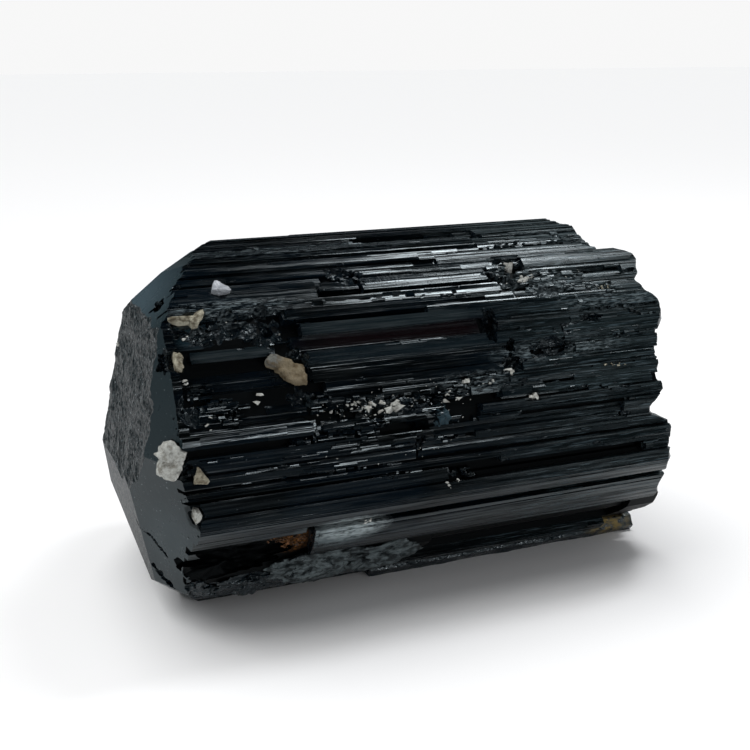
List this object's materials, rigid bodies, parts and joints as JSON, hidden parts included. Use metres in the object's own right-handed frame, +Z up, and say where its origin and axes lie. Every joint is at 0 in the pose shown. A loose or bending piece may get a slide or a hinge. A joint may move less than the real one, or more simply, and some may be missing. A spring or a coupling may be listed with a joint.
{
  "type": "tourmaline crystal",
  "caption": "Black tourmaline prism lying on its side, with ribs along its length, one pointed end, one broken end, and pale mineral grains set in its surface.",
  "frame": {"origin": "middle of the underside, on the surface the crystal lies on", "axes": "+X along the crystal's long axis, from its pointed end to its broken end; +Z up; -Y is the side with the feldspar grains"},
  "size_m": [0.0876, 0.0554, 0.0525],
  "materials": {
    "schorl": "glassy natural crystal faces, dull where broken",
    "white_feldspar": "dull, granular",
    "cream_feldspar": "dull, granular",
    "tan_feldspar": "dull, a little stained",
    "silver_mica": "pearly cleavage face"
  },
  "bodies": {
    "root": {"tourmaline_crystal": "schorl", "feldspar_lump": "white_feldspar", "feldspar_wedge": "cream_feldspar", "feldspar_flake": "tan_feldspar", "feldspar_bar": "cream_feldspar", "feldspar_block": "cream_feldspar", "feldspar_bead": "white_feldspar", "mica_flake": "silver_mica"}
  },
  "joints": []
}
